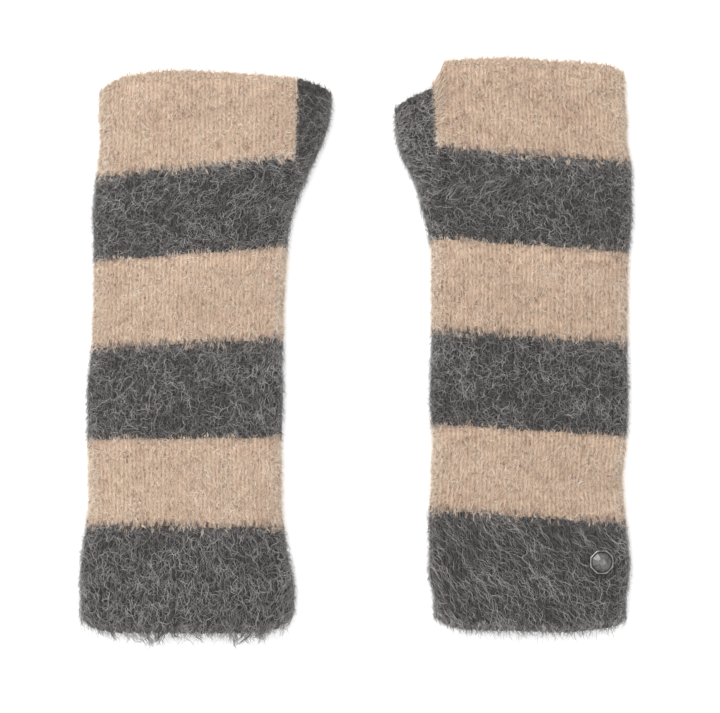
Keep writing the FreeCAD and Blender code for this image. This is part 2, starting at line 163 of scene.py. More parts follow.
class Outline:
    """Shape of one glove: folds, open ends, stripe borders and thumb seam, read from its CAD nodes."""

    BEYOND = 400.0         # rays start this far outside
    STEP = 2.0             # between the rays that find the sides
    CUFF_CORNER = 17.0     # the open ends are rounded over this height
    MOUTH_CORNER = 22.0
    THUMB_CORNER = 14.0
    THUMB_ROOT = 1.0       # height over its lowest point at which the thumb begins
    SEAM_BLEND = 12.0      # height over which the side fold turns into the thumb seam
    END_RAYS = 60          # rays across an open end
    END_INSET = 0.5        # the first and last of them run this far inside
    END_LEVELS = (0.2, 0.5, 0.8, 0.95)      # their heights, as shares of the folded tube

    def __init__(self, side):
        self.side = side
        hand_nodes = [side + "_" + band for band in BANDS]
        hand_nodes += [side + "_finger_edge", side + "_cuff_edge"]
        thumb_nodes = [side + "_thumb_sleeve", side + "_thumb_edge"]
        hand, thumb = tree_of(hand_nodes), tree_of(thumb_nodes)
        joint = joint_named(side + "_thumb_flex")
        self.seam = np.array(joint["pos_m"]) / MM
        along = np.array(joint["axis"])
        self.lean = along[0] / along[1]
        self.fold_height = self.seam[2]
        hand_low, hand_high = self.extent(hand_nodes)
        thumb_low, thumb_high = self.extent(thumb_nodes)
        self.bottom, self.top = hand_low[1], hand_high[1]
        self.crown = hand_high[2] - self.fold_height
        self.thumb_crown = thumb_high[2] - self.fold_height
        self.thumb_base, self.thumb_top = thumb_low[1], thumb_high[1]
        self.centre = (hand_low[0] + hand_high[0]) / 2
        self.towards = 1.0 if self.seam[0] > self.centre else -1.0

        first = self.bottom + self.CUFF_CORNER
        self.far = Profile(self.side_line(hand, first, self.top - self.MOUTH_CORNER, self.towards))
        self.near = Profile(
            self.side_line(hand, first, self.thumb_base - self.STEP, -self.towards)
            + self.side_line(thumb, self.thumb_base + self.THUMB_ROOT,
                             self.thumb_top - self.THUMB_CORNER, -self.towards))
        inset = self.towards * self.END_INSET
        self.mouth = Profile(self.open_end(hand, self.far(self.top) + inset, self.crease(self.top), 1))
        self.cuff = Profile(self.open_end(hand, self.far(self.bottom) + inset,
                                          self.near(self.bottom) - inset, -1))
        self.thumb_mouth = Profile(self.open_end(thumb, self.crease(self.thumb_top),
                                                 self.near(self.thumb_top) - inset, 1))
        self.borders = [self.border(upper, lower) for upper, lower in zip(hand_nodes[:5], hand_nodes[1:6])]

    @staticmethod
    def extent(nodes):
        """Lowest and highest corners of these pieces taken together."""
        corners = np.array([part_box(node) for node in nodes]) / MM
        return corners[:, 0].min(axis=0), corners[:, 1].max(axis=0)

    def side_line(self, tree, low, high, direction):
        """X of one side, met from outside, at steps of y from low up to high."""
        start, middle = self.centre - direction * self.BEYOND, self.fold_height / 2
        return [(y, reach(tree, (start, y, middle), (direction, 0, 0))[0])
                for y in np.arange(low, high, self.STEP)]

    def open_end(self, tree, first, last, direction):
        """Y of an open end across the tube: the furthest wall met from outside at each x."""
        samples = []
        for x in np.linspace(first, last, self.END_RAYS):
            met = []
            for level in self.END_LEVELS:
                start = (x, direction * self.BEYOND, level * self.fold_height)
                point = reach(tree, start, (0, -direction, 0))
                if point is not None:
                    met.append(direction * point[1])
            if met:
                samples.append((x, direction * max(met)))
        return samples

    def border(self, upper, lower):
        """Straight line between two stripes, through their extreme corners."""
        above, below = node_arrays(upper)[0], node_arrays(lower)[0]
        first, second = above[above[:, 1].argmin()], below[below[:, 1].argmax()]
        slope = (second[1] - first[1]) / (second[0] - first[0])
        return lambda x: first[1] + slope * (x - first[0])

    def crease(self, y):
        """X of the thumb seam."""
        return self.seam[0] + (y - self.seam[1]) * self.lean

    def beside_thumb(self, y):
        """0 below the thumb, and 1 where the side fold is the thumb seam."""
        return smoothstep((y - self.thumb_base) / self.SEAM_BLEND)

    def hand_near(self, y):
        """Near fold of the hand tube: the glove's outline, then the seam beside the thumb."""
        share = self.beside_thumb(y)
        return (1 - share) * self.near(y) + share * self.crease(y)


# ---------------------------------------------------------------- knit surfaces

class Surface:
    """Grid of points on the middle of the knit: rows are courses, columns run along the courses.

    A place is given as (wale, course). The grid starts OVERRUN courses before course 0, and at
    first_wale, and has COLUMNS points per wale.
    """

    def __init__(self, points, first_wale, closed):
        self.points = points
        self.first_wale = first_wale
        self.closed = closed
        if closed:
            ahead, behind = np.roll(points[:, :-1], -1, axis=1), np.roll(points[:, :-1], 1, axis=1)
            along = ahead - behind
            along = np.concatenate([along, along[:, :1]], axis=1)
        else:
            along = np.gradient(points, axis=1)
        down = np.gradient(points, axis=0)
        normals = unit(np.cross(along, down))
        centre = points.mean(axis=1, keepdims=True)
        facing = ((points - centre) * normals)[..., 2].sum()
        self.normals = normals if facing > 0 else -normals

    def at(self, wale, course):
        """Point and outward normal at places given as arrays."""
        rows, columns = self.points.shape[:2]
        across = (wale - self.first_wale) * COLUMNS
        if self.closed:
            across = np.mod(across, columns - 1)
        across = np.clip(across, 0, columns - 1.001)
        down = np.clip(course + OVERRUN, 0, rows - 1.001)
        column, row = across.astype(int), down.astype(int)
        s, t = (across - column)[..., None], (down - row)[..., None]
        found = []
        for grid in (self.points, self.normals):
            first = grid[row, column] * (1 - s) + grid[row, column + 1] * s
            second = grid[row + 1, column] * (1 - s) + grid[row + 1, column + 1] * s
            found.append(first * (1 - t) + second * t)
        return found[0], unit(found[1])


def unit(vectors):
    length = np.linalg.norm(vectors, axis=-1, keepdims=True)
    return vectors / np.maximum(length, 1e-9)


def swell(rng, wale, course, period, waves, size):
    """Smooth unevenness of the cloth, the same after a full turn of wales."""
    total = np.zeros(np.broadcast(wale, course).shape)
    for _ in range(waves):
        turns = rng.integers(-6, 7)
        rows = rng.uniform(0.02, 0.09)
        phase = rng.uniform(0, 2 * math.pi)
        total = total + np.sin(2 * math.pi * (turns * wale / period + rows * course) + phase)
    return size * total / math.sqrt(waves)


def off_ground(z):
    """0 where the tube lies on the ground, 1 well over it."""
    return smoothstep((z - RESTING_HEIGHT) / RESTING_BLEND)


def clear_of(course, last):
    """Courses past either end of a run, negative before its start."""
    return np.minimum(course, 0) + np.maximum(course - last, 0)


def hand_surface(outline, rng):
    """Surface of the hand and forearm tube."""
    wales = WALES[outline.side]
    total = BAND_KNOTS[-1]
    courses = np.arange(-OVERRUN, total + OVERRUN + 1, dtype=float)[:, None]
    columns = np.arange(wales * COLUMNS + 1, dtype=float)[None, :] / COLUMNS
    share = np.broadcast_to(columns / wales, (len(courses), columns.shape[1]))
    drift = swell(rng, columns, courses, wales, *ROW_DRIFT)

    band = np.clip(np.searchsorted(BAND_KNOTS, courses, side="right") - 1, 0, len(BANDS) - 1)
    inside = np.clip((courses - BAND_KNOTS[band]) / (BAND_KNOTS[band + 1] - BAND_KNOTS[band]), 0, 1)
    y = np.broadcast_to(np.linspace(outline.top, outline.bottom, len(courses))[:, None], share.shape)
    for _ in range(SETTLE_ROUNDS):
        x, z = tube_section(outline, share, y)
        edges = np.stack([outline.mouth(x) - EDGE_INSET] + [line(x) for line in outline.borders]
                         + [outline.cuff(x) + EDGE_INSET])
        upper = np.take_along_axis(edges, np.broadcast_to(band, x.shape)[None], axis=0)[0]
        lower = np.take_along_axis(edges, np.broadcast_to(band + 1, x.shape)[None], axis=0)[0]
        y = upper + inside * (lower - upper)
    y = y - COURSE * (clear_of(courses, total) + drift)
    wave = swell(rng, columns, courses, wales, *HAND_SWELL) * off_ground(z)
    return Surface(np.stack([x, y, z + wave], axis=-1), 0, True)


def tube_section(outline, share, y):
    """X and z of the points at these shares of the way round the flattened tube."""
    far = outline.far(y) + outline.towards * HALF_WALL
    beside_thumb = outline.beside_thumb(y)
    inset = HALF_WALL + (SEAM_INSET - HALF_WALL) * beside_thumb
    near = outline.hand_near(y) - outline.towards * inset
    middle = outline.fold_height / 2
    fold = middle - HALF_WALL
    width = np.abs(near - far)
    straight = width - 2 * fold
    quarter = math.pi * fold / 2
    total = 2 * straight + 4 * quarter
    way = share * total
    power = 2 / (2 + (SEAM_SQUARENESS - 2) * beside_thumb)

    turn = np.clip(way / fold, 0, math.pi / 2)
    back = np.clip((total - way) / fold, 0, math.pi / 2)
    round_near = np.clip((way - quarter - straight) / fold, 0, math.pi)
    zones = [way < quarter, way < quarter + straight, way < 3 * quarter + straight,
             way < 3 * quarter + 2 * straight]
    across = np.select(
        zones,
        [fold - fold * np.cos(turn), fold + way - quarter,
         width - fold + fold * np.abs(np.sin(round_near)) ** power,
         width - fold - (way - 3 * quarter - straight)],
        fold - fold * np.cos(back))
    lobe = 1 - ((across - width / 2) / (width / 2 - fold)) ** 2
    cosine = np.cos(round_near)
    height = np.select(
        zones,
        [fold * np.sin(turn), fold + outline.crown * np.maximum(lobe, 0),
         fold * np.sign(cosine) * np.abs(cosine) ** power, np.full_like(way, -fold)],
        -fold * np.sin(back))
    return far + outline.towards * across, middle + height


THUMB_COURSES = {"left": 16, "right": 18}
THUMB_REACH = 36.0        # half the length round the thumb tube, at its widest
THUMB_NARROWEST = 1.5     # width that the tube keeps above the point where it meets the hand
SEAM_FOLD = 1.5           # how far the knit turns over before it meets the seam


def thumb_section(outline, way, y):
    """X, z and half the way round, at signed distances from the thumb's outer fold, top positive."""
    outer = outline.near(y) - outline.towards * HALF_WALL
    seam = outline.crease(y) + outline.towards * SEAM_INSET
    width = np.maximum(np.abs(outer - seam), THUMB_NARROWEST)
    half = outline.fold_height / 2 - HALF_WALL
    fold = np.minimum(half, width / 2)
    quarter = math.pi / 2 * (fold + half) / 2
    straight = np.maximum(width - fold - SEAM_FOLD, 0.1)
    total = quarter + straight + half
    walk = np.minimum(np.abs(way), total)
    turn = np.clip(walk / quarter, 0, 1) * math.pi / 2
    last = np.clip((walk - quarter - straight) / half, 0, 1)
    zones = [walk < quarter, walk < quarter + straight]
    across = np.select(
        zones,
        [fold - fold * np.cos(turn), fold + walk - quarter],
        width - SEAM_FOLD * (1 - np.minimum(last * 3, 1)) ** 2)
    lobe = np.maximum(1 - ((across - width / 2) / (width / 2)) ** 2, 0)
    rise = np.where(way > 0, half + outline.thumb_crown * lobe, -half)
    height = np.select(
        zones,
        [half * np.sin(turn) * np.sign(way) + (rise - half) * (way > 0) * np.sin(turn), rise],
        rise * (1 - last ** 2))
    return outer - outline.towards * across, outline.fold_height / 2 + height, total


def thumb_surface(outline, rng):
    """Surface of the thumb tube, from the seam over the top, round the fold and back underneath."""
    half_wales = math.ceil(THUMB_REACH / WALE)
    rows = THUMB_COURSES[outline.side]
    courses = np.arange(-OVERRUN, rows + OVERRUN + 1, dtype=float)[:, None]
    wales = np.arange(-half_wales * COLUMNS, half_wales * COLUMNS + 1, dtype=float)[None, :] / COLUMNS
    way = np.broadcast_to(wales * WALE, (len(courses), wales.shape[1]))
    inside = np.clip(courses / rows, 0, 1)
    root = outline.thumb_base + outline.THUMB_ROOT
    y = np.broadcast_to(np.linspace(outline.thumb_top, outline.thumb_base, len(courses))[:, None], way.shape)
    for _ in range(SETTLE_ROUNDS):
        x, z, total = thumb_section(outline, way, y)
        y = (outline.thumb_mouth(x) - EDGE_INSET) * (1 - inside) + root * inside
    y = y - COURSE * clear_of(courses, rows)
    wave = swell(rng, wales, courses, 2 * half_wales, *THUMB_SWELL) * off_ground(z)
    surface = Surface(np.stack([x, y, z + wave], axis=-1), -half_wales, False)
    surface.half_round = total[:, 0] / WALE
    return surface


# ---------------------------------------------------------------- meshes

def add_object(name, data):
    obj = bpy.data.objects.new(name, data)
    bpy.context.scene.collection.objects.link(obj)
    return obj


class Sheaf:
    """Faces of one piece, collected from batches of tubes and grids."""

    def __init__(self):
        self.points, self.corners, self.sizes, self.uvs, self.count = [], [], [], [], 0

    def add_faces(self, faces, uvs):
        """Faces (f, k) with k corners each, numbered from the points added next, and uvs (f, k, 2)."""
        self.corners.append((faces + self.count).ravel())
        self.sizes.append(np.full(len(faces), faces.shape[1]))
        self.uvs.append(uvs.reshape(-1, 2))

    def add_points(self, points):
        self.points.append(points.reshape(-1, 3))
        self.count += len(self.points[-1])

    def build(self, name, material):
        points = np.concatenate(self.points) * MM
        corners = np.concatenate(self.corners).astype(np.int32)
        sizes = np.concatenate(self.sizes)
        starts = np.concatenate([[0], np.cumsum(sizes)[:-1]]).astype(np.int32)
        mesh = bpy.data.meshes.new(name)
        mesh.vertices.add(len(points))
        mesh.vertices.foreach_set("co", points.ravel())
        mesh.loops.add(len(corners))
        mesh.loops.foreach_set("vertex_index", corners)
        mesh.polygons.add(len(sizes))
        mesh.polygons.foreach_set("loop_start", starts)
        layer = mesh.uv_layers.new(name=UV_NAME)
        layer.data.foreach_set("uv", np.clip(np.concatenate(self.uvs), 0, 1).ravel())
        mesh.update(calc_edges=True)
        mesh.polygons.foreach_set("use_smooth", np.ones(len(sizes), dtype=bool))
        mesh.materials.append(material)
        return add_object(name, mesh)


def add_tubes(sheaf, paths, normals, radii, sides, closed, uv_along, uv_around):
    """Tubes along n paths of k points: paths and normals (n, k, 3), radii (n, k).

    uv_along (n, k + 1) and uv_around (n, 2) lay the tubes out: along x, and round y.
    """
    n, k = radii.shape
    if closed:
        along = np.roll(paths, -1, axis=1) - np.roll(paths, 1, axis=1)
    else:
        along = np.gradient(paths, axis=1)
    along = unit(along)
    side = unit(np.cross(normals, along))
    out = np.cross(along, side)
    angles = 2 * math.pi * np.arange(sides) / sides
    ring = np.cos(angles)[:, None] * side[:, :, None, :] + np.sin(angles)[:, None] * out[:, :, None, :]
    points = paths[:, :, None, :] + radii[:, :, None, None] * ring

    spans = k if closed else k - 1
    i, s, j = np.meshgrid(np.arange(n), np.arange(spans), np.arange(sides), indexing="ij")
    corners = [(s, j), (s, j + 1), (s + 1, j + 1), (s + 1, j)]
    around = uv_around[:, :1] + (uv_around[:, 1:] - uv_around[:, :1]) * (np.arange(sides + 1) / sides)
    faces = np.stack([(i * k + at % k) * sides + turn % sides for at, turn in corners], axis=-1)
    uv = np.stack([np.stack([uv_along[i, at], around[i, turn]], axis=-1) for at, turn in corners], axis=-2)
    sheaf.add_faces(faces.reshape(-1, 4), uv.reshape(-1, 4, 2))
    if not closed:
        rim = np.arange(sides)
        for at, order in ((0, rim[::-1]), (k - 1, rim)):
            caps = ((np.arange(n) * k + at) * sides)[:, None] + order[None, :]
            flat = np.stack([np.broadcast_to(uv_along[:, at:at + 1], caps.shape), around[:, order]], axis=-1)
            sheaf.add_faces(caps, flat)
    sheaf.add_points(points)


# ---------------------------------------------------------------- materials

def new_material(name):
    material = bpy.data.materials.new(name)
    material.use_nodes = True
    tree = material.node_tree
    return material, tree, tree.nodes["Principled BSDF"]


def set_inputs(node, values):
    for name, value in values.items():
        node.inputs[name].default_value = value


def ramp_node(tree, factor, stops):
    """Colours at places from 0 to 1; a single number is a grey."""
    ramp = tree.nodes.new("ShaderNodeValToRGB")
    elements = ramp.color_ramp.elements
    while len(elements) < len(stops):
        elements.new(0.5)
    for element, (place, colour) in zip(elements, stops):
        element.position = place
        element.color = (*colour, 1.0) if isinstance(colour, tuple) else (colour, colour, colour, 1.0)
    tree.links.new(factor, ramp.inputs["Fac"])
    return ramp.outputs["Color"]


def uv_node(tree, scale):
    uv = tree.nodes.new("ShaderNodeUVMap")
    uv.uv_map = UV_NAME
    mapping = tree.nodes.new("ShaderNodeMapping")
    set_inputs(mapping, {"Scale": scale})
    tree.links.new(uv.outputs["UV"], mapping.inputs["Vector"])
    return mapping.outputs["Vector"]


def noise_node(tree, vector, scale, detail, roughness=0.55):
    noise = tree.nodes.new("ShaderNodeTexNoise")
    set_inputs(noise, {"Scale": scale, "Detail": detail, "Roughness": roughness})
    tree.links.new(vector, noise.inputs["Vector"])
    return noise.outputs["Fac"]


def mix_node(tree, blend_type, factor, first, second):
    mix = tree.nodes.new("ShaderNodeMix")
    mix.data_type = "RGBA"
    mix.blend_type = blend_type
    mix.inputs["Factor"].default_value = factor
    for socket, value in ((mix.inputs[6], first), (mix.inputs[7], second)):
        if isinstance(value, tuple):
            socket.default_value = (*value, 1.0)
        else:
            tree.links.new(value, socket)
    return mix.outputs[2]


def bump_node(tree, height, distance, strength=1.0, before=None):
    bump = tree.nodes.new("ShaderNodeBump")
    set_inputs(bump, {"Distance": distance, "Strength": strength})
    tree.links.new(height, bump.inputs["Height"])
    if before is not None:
        tree.links.new(before, bump.inputs["Normal"])
    return bump.outputs["Normal"]


def soft_finish(shader, roughness, sheen):
    set_inputs(shader, {"Roughness": roughness, "Specular IOR Level": 0.25,
                        "Sheen Weight": sheen, "Sheen Roughness": 0.5})


def yarn_material(name, tones, wales, courses):
    """Spun yarn: hairs along it, turns of the plies, and slow changes of the dye."""
    material, tree, shader = new_material(name)
    hairs = noise_node(tree, uv_node(tree, (wales * 1.2, courses * 9.0, 1.0)), 2.2, 4.0, 0.65)
    blotches = noise_node(tree, uv_node(tree, (wales, courses, 1.0)), 0.35, 3.0)
    strands = ramp_node(tree, hairs, list(zip((0.30, 0.50, 0.72), tones)))
    patches = ramp_node(tree, blotches, [(0.30, (0.88, 0.82, 0.79)), (0.50, 1.0), (0.70, (1.0, 0.98, 0.92))])
    tree.links.new(mix_node(tree, "MULTIPLY", 1.0, strands, patches), shader.inputs["Base Color"])
    plies = tree.nodes.new("ShaderNodeTexWave")
    plies.wave_type = "BANDS"
    plies.bands_direction = "DIAGONAL"
    set_inputs(plies, {"Scale": 1.0, "Distortion": 1.5})
    tree.links.new(uv_node(tree, (wales * 2.0, courses * 1.0, 1.0)), plies.inputs["Vector"])
    turns = bump_node(tree, plies.outputs["Fac"], 0.0003, 0.5)
    tree.links.new(bump_node(tree, hairs, 0.0004, 0.8, turns), shader.inputs["Normal"])
    soft_finish(shader, 0.85, 0.25)
    return material


def felt_material(name, dark, light):
    """Matted fibres between the loops, toned darker than the yarn as painted shade in the gaps between the
    loops.
    """
    material, tree, shader = new_material(name)
    fibres = noise_node(tree, uv_node(tree, (60.0, 45.0, 1.0)), 2.0, 5.0, 0.7)
    tree.links.new(ramp_node(tree, fibres, [(0.35, dark), (0.65, light)]), shader.inputs["Base Color"])
    tree.links.new(bump_node(tree, fibres, 0.0006), shader.inputs["Normal"])
    soft_finish(shader, 0.95, 0.2)
    return material


def fibre_material(name, tones, root, tip):
    """Loose fibres: the tone of each is its place across the layout; each is darker at its root, as painted
    shade down in the pile, and lighter at its tip, as painted light.
    """
    material, tree, shader = new_material(name)
    split = tree.nodes.new("ShaderNodeSeparateXYZ")
    tree.links.new(uv_node(tree, (1.0, 1.0, 1.0)), split.inputs["Vector"])
    tone = ramp_node(tree, split.outputs["X"], tones)
    # root multiplies the colour at the fibre's root as painted shade, tip multiplies it at the tip as painted
    # light
    root_shade_tip_light = ramp_node(tree, split.outputs["Y"], [(0.0, root), (0.45, 1.0), (1.0, tip)])
    tree.links.new(mix_node(tree, "MULTIPLY", 1.0, tone, root_shade_tip_light), shader.inputs["Base Color"])
    soft_finish(shader, 0.55, 0.3)
    return material


YARN_TONES = {            # dark, middle and light hairs
    "beige": ((0.44, 0.315, 0.225), (0.52, 0.385, 0.285), (0.59, 0.45, 0.34)),
    "coal": ((0.020, 0.018, 0.017), (0.036, 0.033, 0.031), (0.070, 0.064, 0.061)),
}
BEIGE_TONES = [
    (0.0, (0.14, 0.08, 0.05)), (0.07, (0.27, 0.165, 0.115)), (0.20, (0.44, 0.305, 0.22)),
    (0.45, (0.60, 0.447, 0.333)), (0.70, (0.70, 0.565, 0.435)), (1.0, (0.88, 0.785, 0.67)),
]
COAL_TONES = [
    (0.0, (0.018, 0.016, 0.015)), (0.16, (0.062, 0.053, 0.048)), (0.40, (0.114, 0.104, 0.101)),
    (0.72, (0.240, 0.225, 0.219)), (1.0, (0.52, 0.495, 0.48)),
]
MATERIALS = {
    # Felt tones sit below the yarn tones: painted shade in the gaps between the loops
    "beige_felt": felt_material("beige_felt", (0.36, 0.245, 0.175), (0.50, 0.37, 0.28)),
    "coal_felt": felt_material("coal_felt", (0.014, 0.013, 0.013), (0.032, 0.030, 0.029)),
    # Fibre roots darkened (0.75, 0.55) as painted shade in the pile, tips lightened (1.1, 1.15) as painted
    # light
    "beige_fibre": fibre_material("beige_fibre", BEIGE_TONES, 0.75, 1.1),
    "coal_fibre": fibre_material("coal_fibre", COAL_TONES, 0.55, 1.15),
    "sewing_yarn": yarn_material(
        "sewing_yarn", ((0.03, 0.03, 0.03), (0.06, 0.057, 0.057), (0.11, 0.105, 0.10)), 40, 2),
}


def yarn_for(dye, wales, courses):
    """Yarn of one dye, laid out for a piece of this many stitches."""
    name = "%s_yarn_%d_%d" % (dye, wales, courses)
    if name not in MATERIALS:
        MATERIALS[name] = yarn_material(name, YARN_TONES[dye], wales, courses)
    return MATERIALS[name]


# ---------------------------------------------------------------- knit pieces

def loop_path(surface, rng, course, phase):
    """Yarn of one course: phase counts wales, and each wale is one loop."""
    angle = 2 * math.pi * phase
    wale = phase + LOOP_OVERHANG * np.sin(2 * angle)
    stitches = int(math.ceil(phase[-1] - phase[0])) + 1
    uneven = STITCH_UNEVENNESS * rng.standard_normal(stitches)
    uneven[-1] = uneven[0]
    sway = np.interp(phase - phase[0], np.arange(stitches), uneven)
    down = course + 0.5 + sway - LOOP_REACH * np.cos(angle)
    point, normal = surface.at(wale, down)
    path = point - LOOP_DEPTH * np.cos(2 * angle)[:, None] * normal
    return lifted(path, YARN_CLEARANCE * YARN_RADIUS), normal


def lifted(points, height):
    """Points raised, where needed, to this height over the ground."""
    points[..., 2] = np.maximum(points[..., 2], height)
    return points


def add_course(sheaf, surface, rng, course, phase, slow_change, along, strip):
    """One row of loops, its thickness changing slowly and at random. A full turn is closed."""
    path, normal = loop_path(surface, rng, course, phase)
    thickness = YARN_RADIUS * (1 + slow_change + YARN_UNEVENNESS * rng.standard_normal(len(phase)))
    add_tubes(sheaf, path[None], normal[None], thickness[None], YARN_SIDES, surface.closed, along[None],
              np.array([strip]))


def knit_band(name, surface, rng, first, last, wales, material):
    """Closed rings of stockinette, one for each course of a stripe."""
    sheaf = Sheaf()
    steps = wales * STITCH_POINTS
    phase = np.arange(steps) / STITCH_POINTS
    rows = last - first
    for row in range(first, last):
        add_course(sheaf, surface, rng, row, phase, YARN_SWELLING * np.sin(phase * 1.7 + row),
                   np.arange(steps + 1) / steps, [(row - first) / rows, (row - first + 1) / rows])
    return sheaf.build(name, material)


def knit_thumb(name, surface, rng, courses, material):
    """Rows of stockinette round the thumb, each from the seam and back to it."""
    sheaf = Sheaf()
    for row in range(courses):
        half = surface.half_round[row + OVERRUN]
        steps = int(2 * half * STITCH_POINTS)
        add_course(sheaf, surface, rng, row, np.linspace(-half, half, steps), 0.0,
                   np.append(np.linspace(0, 1, steps), 1.0), [row / courses, (row + 1) / courses])
    return sheaf.build(name, material)


def felt_tube(name, surface, first, last, start, end, material):
    """Thin closed layer between two courses: an outer and an inner skin, joined at their rims."""
    columns = (end - start) * 2
    wale = np.linspace(start, end, columns + 1)
    course = np.arange(first, last + 1, dtype=float)
    point, normal = surface.at(*np.meshgrid(wale, course))
    rows = len(course)
    used = columns if surface.closed else columns + 1
    outer = point + FELT_OUTSIDE * normal
    inner = point + FELT_INSIDE * normal
    u = (wale - start) / (end - start)
    v = (course - first) / (last - first)
    sheaf = Sheaf()

    def add_quads(turned, *corners):
        """Faces with corners given as skin, row and column; turned ones are wound the other way."""
        order = -1 if turned else 1
        quad = [layer * rows * used + row * used + (column % used) for layer, row, column in corners]
        layout = [np.stack(np.broadcast_arrays(u[column], v[row]), -1) for _, row, column in corners]
        sheaf.add_faces(np.stack(quad, axis=-1)[:, ::order], np.stack(layout, axis=1)[:, ::order])

    flip = facing_flip(outer, normal)
    r, c = [g.ravel() for g in np.meshgrid(np.arange(rows - 1), np.arange(columns), indexing="ij")]
    for layer, turned in ((0, flip), (1, not flip)):
        add_quads(turned, (layer, r, c), (layer, r, c + 1), (layer, r + 1, c + 1), (layer, r + 1, c))
    c = np.arange(columns)
    for row, turned in ((0, flip), (rows - 1, not flip)):
        add_quads(turned, (0, row, c), (1, row, c), (1, row, c + 1), (0, row, c + 1))
    if not surface.closed:
        r = np.arange(rows - 1)
        for column, turned in ((0, not flip), (columns, flip)):
            add_quads(turned, (0, r, column), (1, r, column), (1, r + 1, column), (0, r + 1, column))
    for skin in (outer, inner):
        sheaf.add_points(skin[:, :used])
    return sheaf.build(name, material)


def facing_flip(points, normals):
    """True if faces drawn along the row and then down it face against the normals."""
    along = points[0, 1] - points[0, 0]
    down = points[1, 0] - points[0, 0]
    return float(np.dot(np.cross(along, down), normals[0, 0])) < 0


# ---------------------------------------------------------------- brushed fibres

class Pile(NamedTuple):
    """How the fibres of one region grow. Lengths are in millimetres, angles in degrees."""

    count: int
    length: tuple           # shortest and longest
    radius: float
    heading: float          # mean direction: 0 runs across the glove to +X, 90 towards the cuff
    spread: float           # standard deviation of the direction
    curl: float             # swing of the waves along a fibre
    wave: tuple             # length of one wave, shortest and longest
    lift: tuple             # height of the tip over the yarn, lowest and highest
    tone: tuple             # mean and deviation of the tone, 0 dark to 1 light
    points: int
    tuft: int = 1           # fibres in one lock
    scatter: float = 0.0    # distance between the roots of a lock
    gather: float = 0.0     # how far the fibres of a lock come together towards the tip
    uneven: float = 0.0     # share by which the length changes along the edge


ROOT_HEIGHT = 1.05        # a fibre leaves the yarn just below its outer side
YARN_TOP = 1.30           # a tip's lift is measured from here
FLOOR_GAP = 0.02
UNDERSIDE = -0.5          # a normal that points further down than this is on the underside
BEND = 0.06               # deviation of a fibre's curve, in radians a millimetre
RIPPLE = 0.12             # height of the ripples along a fibre
TAPER = 0.72              # share of its radius that a fibre loses by its tip
TONE_RANGE = (0.01, 0.97)
LOCK_UNEVENNESS = (0.12, 0.10, 0.25)    # within a lock: share of the length, heading and phase in radians


def add_pile(sheaf, surface, rng, pile, wales, courses, towards, thin_below=0.40, keep_off=None,
             backwards=0.12):
    """Fibres rooted between these wales and courses, growing in locks of one or more.

    thin_below is the share kept on the underside, backwards the share lying the other way.
    """
    locks = pile.count // pile.tuft
    wale = rng.uniform(wales[0], wales[1], locks)
    course = rng.uniform(courses[0], courses[1], locks)
    place_at, normal = surface.at(wale, course)
    upper = normal[:, 2] > UNDERSIDE
    keep = upper | (rng.random(locks) < thin_below)
    if keep_off is not None:
        keep &= np.hypot(place_at[:, 0] - keep_off[0], place_at[:, 1] - keep_off[1]) > keep_off[2]
    turned = math.pi * (rng.random(locks) < backwards)
    heading = math.radians(pile.heading) + math.radians(pile.spread) * rng.standard_normal(locks) + turned
    swing = math.radians(pile.curl) * rng.uniform(0.5, 1.4, locks)
    wave = rng.uniform(*pile.wave, locks)
    phase = rng.uniform(0, 2 * math.pi, locks)
    bend = rng.normal(0, BEND, locks)
    lift = rng.uniform(*pile.lift, locks)
    uneven = pile.uneven * np.sin(1.1 * wale + 2 * np.sin(0.5 * wale))
    reach_out = rng.uniform(*pile.length, locks) * (1 + uneven)
    shade = rng.normal(*pile.tone, locks) + blotch(wale, course)
    across_sign = np.where(upper, towards, -towards)

    lock = np.repeat(np.flatnonzero(keep), pile.tuft)
    n, k = len(lock), pile.points
    single = rng.standard_normal((5, n))
    length = reach_out[lock] * (1 + LOCK_UNEVENNESS[0] * single[0])
    heading = heading[lock] + LOCK_UNEVENNESS[1] * single[1]
    phase = phase[lock] + LOCK_UNEVENNESS[2] * single[2]
    offset = pile.scatter * single[3:5]
    share = np.linspace(0, 1, k)[None, :]
    s = share * length[:, None]
    angle = (heading[:, None] + bend[lock, None] * s
             + swing[lock, None] * np.sin(2 * math.pi * s / wave[lock, None] + phase[:, None]))
    step = (length / (k - 1))[:, None]
    pull = 1 - pile.gather * share
    across = np.cumsum(np.cos(angle) * step, axis=1) * across_sign[lock, None] + offset[0][:, None] * pull
    down = np.cumsum(np.sin(angle) * step, axis=1) + offset[1][:, None] * pull
    point, normal = surface.at(wale[lock, None] + across / WALE, course[lock, None] + down / COURSE)
    ripple = RIPPLE * np.sin(2 * math.pi * s / (0.7 * wave[lock, None]) + 1.7 * phase[:, None]) * (share > 0)
    tip = YARN_TOP + lift[lock, None] * rng.uniform(0.8, 1.2, (n, 1))
    height = ROOT_HEIGHT + (tip - ROOT_HEIGHT) * share ** 0.8 + ripple
    point = point + height[..., None] * normal
    radius = pile.radius * rng.uniform(0.75, 1.3, n)[:, None] * (1.0 - TAPER * share ** 2)
    point = lifted(point, radius + FLOOR_GAP)
    tone = np.clip(shade[lock] + 0.06 * rng.standard_normal(n), *TONE_RANGE)
    along = np.concatenate([np.broadcast_to(share, (n, k)), np.ones((n, 1))], axis=1)
    add_fibre_tubes(sheaf, point, normal, radius, along, np.stack([tone, tone + 0.02], axis=1))


BLOTCH_SIZE = 0.06
BLOTCH_WAVES = 7
BLOTCH_SEED = 7


def blotch(wale, course):
    """Slow drift of tone over the cloth."""
    rng = np.random.default_rng(BLOTCH_SEED)
    drift = 0.0
    for _ in range(BLOTCH_WAVES):
        across, down = rng.uniform(-0.9, 0.9, 2)
        drift = drift + np.sin(across * wale + down * course + rng.uniform(0, 2 * math.pi))
    return BLOTCH_SIZE * drift / math.sqrt(BLOTCH_WAVES / 2)


FIBRE_SIDES = 3


